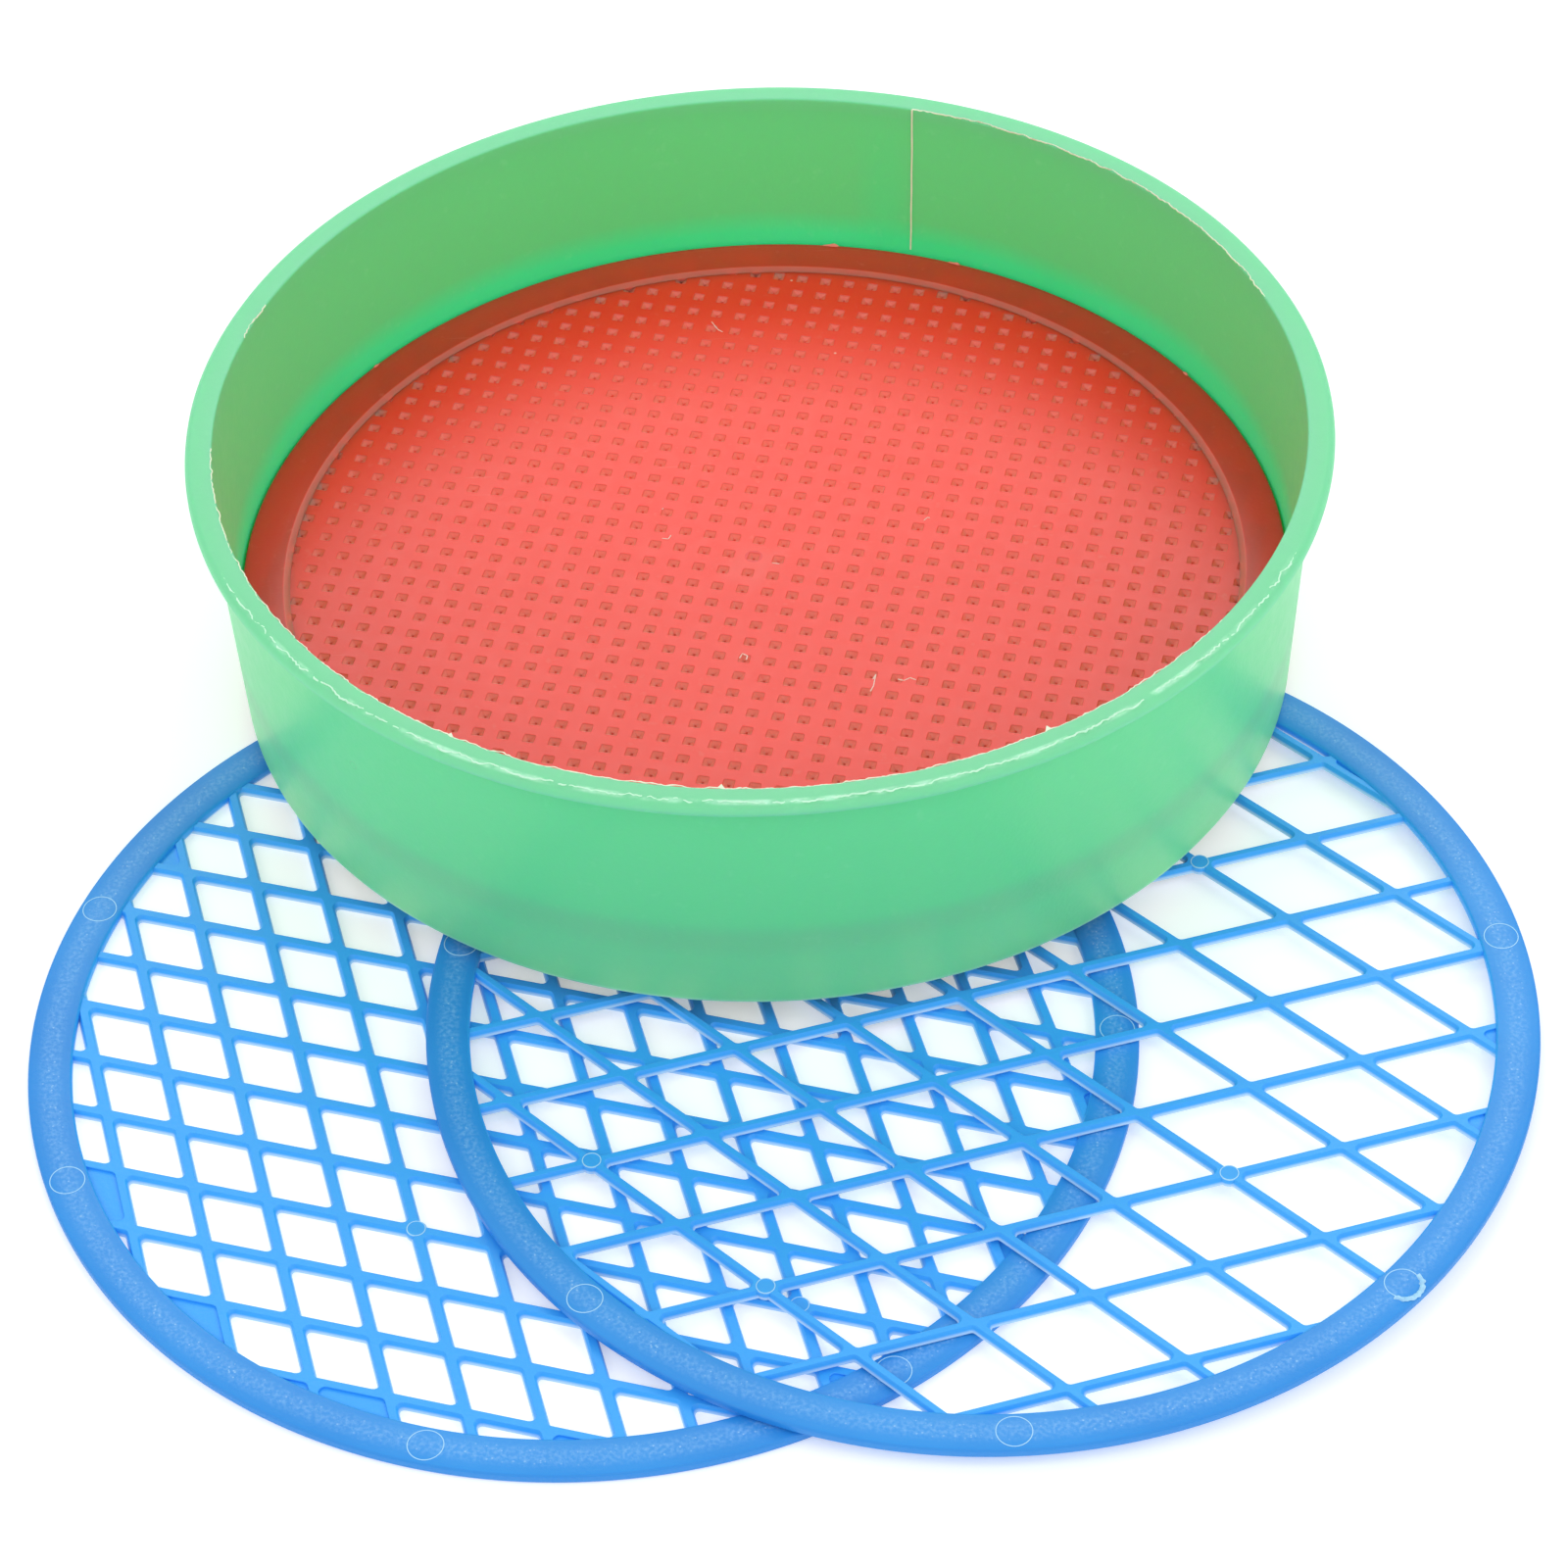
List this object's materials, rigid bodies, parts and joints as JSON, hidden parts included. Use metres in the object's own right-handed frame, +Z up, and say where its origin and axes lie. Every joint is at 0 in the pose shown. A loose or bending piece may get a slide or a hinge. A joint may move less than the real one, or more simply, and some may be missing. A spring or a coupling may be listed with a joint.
{
  "type": "sand sieve",
  "caption": "Round plastic sieve: a rimmed hoop with a drop-in fine mesh disc, leaning on spare discs of wider mesh.",
  "frame": {"origin": "middle of the footprint of the whole stack, on the ground", "axes": "+Z up; the hoop's axis leans 2.2 degrees back from it, towards +Y; the spare discs lie flat towards -Y, the medium one towards -X and the coarse one towards +X"},
  "size_m": [0.379, 0.4322, 0.0861],
  "materials": {
    "green_plastic": "semi-gloss, slightly translucent",
    "red_plastic": "semi-gloss, slightly translucent",
    "blue_plastic": "satin, slightly translucent"
  },
  "bodies": {
    "medium_disc": {"medium_mesh": "blue_plastic"},
    "coarse_disc": {"coarse_mesh": "blue_plastic"},
    "hoop_body": {"hoop": "green_plastic"},
    "fine_disc": {"fine_mesh": "red_plastic"}
  },
  "joints": [
    {"name": "coarse_disc_lift", "type": "slide", "parent": "medium_disc", "child": "coarse_disc", "axis": [0, 0, 1], "range_m": [0, 0.06]},
    {"name": "hoop_lift", "type": "slide", "parent": "coarse_disc", "child": "hoop_body", "axis": [0, 0, 1], "range_m": [0, 0.12]},
    {"name": "fine_disc_lift", "type": "slide", "parent": "hoop_body", "child": "fine_disc", "axis": [0, 0.0384, 0.9993], "range_m": [0, 0.08]}
  ]
}
